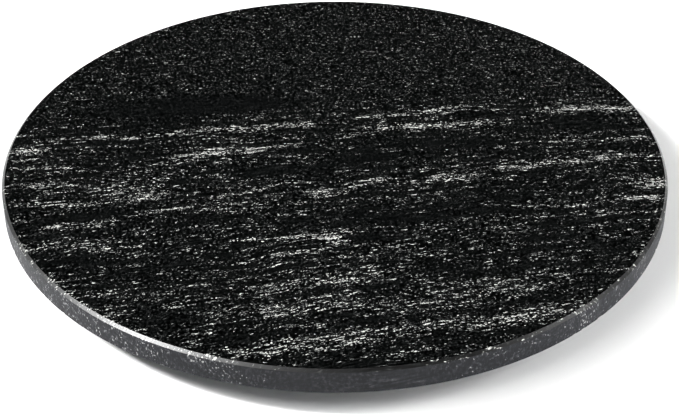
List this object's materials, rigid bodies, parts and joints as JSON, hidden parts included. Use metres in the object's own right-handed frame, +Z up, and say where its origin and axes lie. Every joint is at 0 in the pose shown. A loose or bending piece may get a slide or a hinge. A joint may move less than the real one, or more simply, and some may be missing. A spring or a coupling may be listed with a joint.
{
  "type": "lazy susan turntable",
  "caption": "Round polished stone serving disc that spins on a low aluminium ring bearing with a caged row of balls, standing on screwed rubber feet.",
  "frame": {"origin": "on the table surface under the feet, on the axis that the disc turns about", "axes": "+Z up along the turning axis; +X through foot 1; the stone is polished on its +Z face"},
  "size_m": [0.4059, 0.406, 0.03],
  "materials": {
    "black_granite": "polished top and bevel, honed rim, sawn underside, white flecks drawn out in one direction",
    "satin_aluminium": "turned and clear anodised",
    "bearing_steel": "polished",
    "white_nylon": "moulded",
    "insert_brass": "turned and knurled",
    "zinc_steel": "bright zinc plated",
    "black_steel": "black oxide",
    "silicone_pad": "translucent grey, matt",
    "foot_rubber": "moulded, matt"
  },
  "bodies": {
    "base": {"base_ring": "satin_aluminium", "filler_plug": "black_steel", "foot_washers": "zinc_steel", "foot_screws": "zinc_steel", "rubber_foot_1": "foot_rubber", "rubber_foot_2": "foot_rubber", "rubber_foot_3": "foot_rubber", "rubber_foot_4": "foot_rubber", "rubber_foot_5": "foot_rubber", "rubber_foot_6": "foot_rubber"},
    "cage": {"ball_cage": "white_nylon", "bearing_balls": "bearing_steel"},
    "table": {"stone_top": "black_granite", "threaded_inserts": "insert_brass", "turntable_ring": "satin_aluminium", "ring_screws": "zinc_steel", "cushion_pad_1": "silicone_pad", "cushion_pad_2": "silicone_pad", "cushion_pad_3": "silicone_pad", "cushion_pad_4": "silicone_pad", "cushion_pad_5": "silicone_pad", "cushion_pad_6": "silicone_pad"}
  },
  "joints": [
    {"name": "table_spin", "type": "hinge", "parent": "base", "child": "table", "pos_m": [0, 0, 0.0085], "axis": [0, 0, 1], "continuous": true},
    {"name": "cage_spin", "type": "hinge", "parent": "base", "child": "cage", "pos_m": [0, 0, 0.0085], "axis": [0, 0, 1], "continuous": true}
  ],
  "couplings": [
    {"joint": "cage_spin", "follows": "table_spin", "ratio": 0.4933}
  ]
}
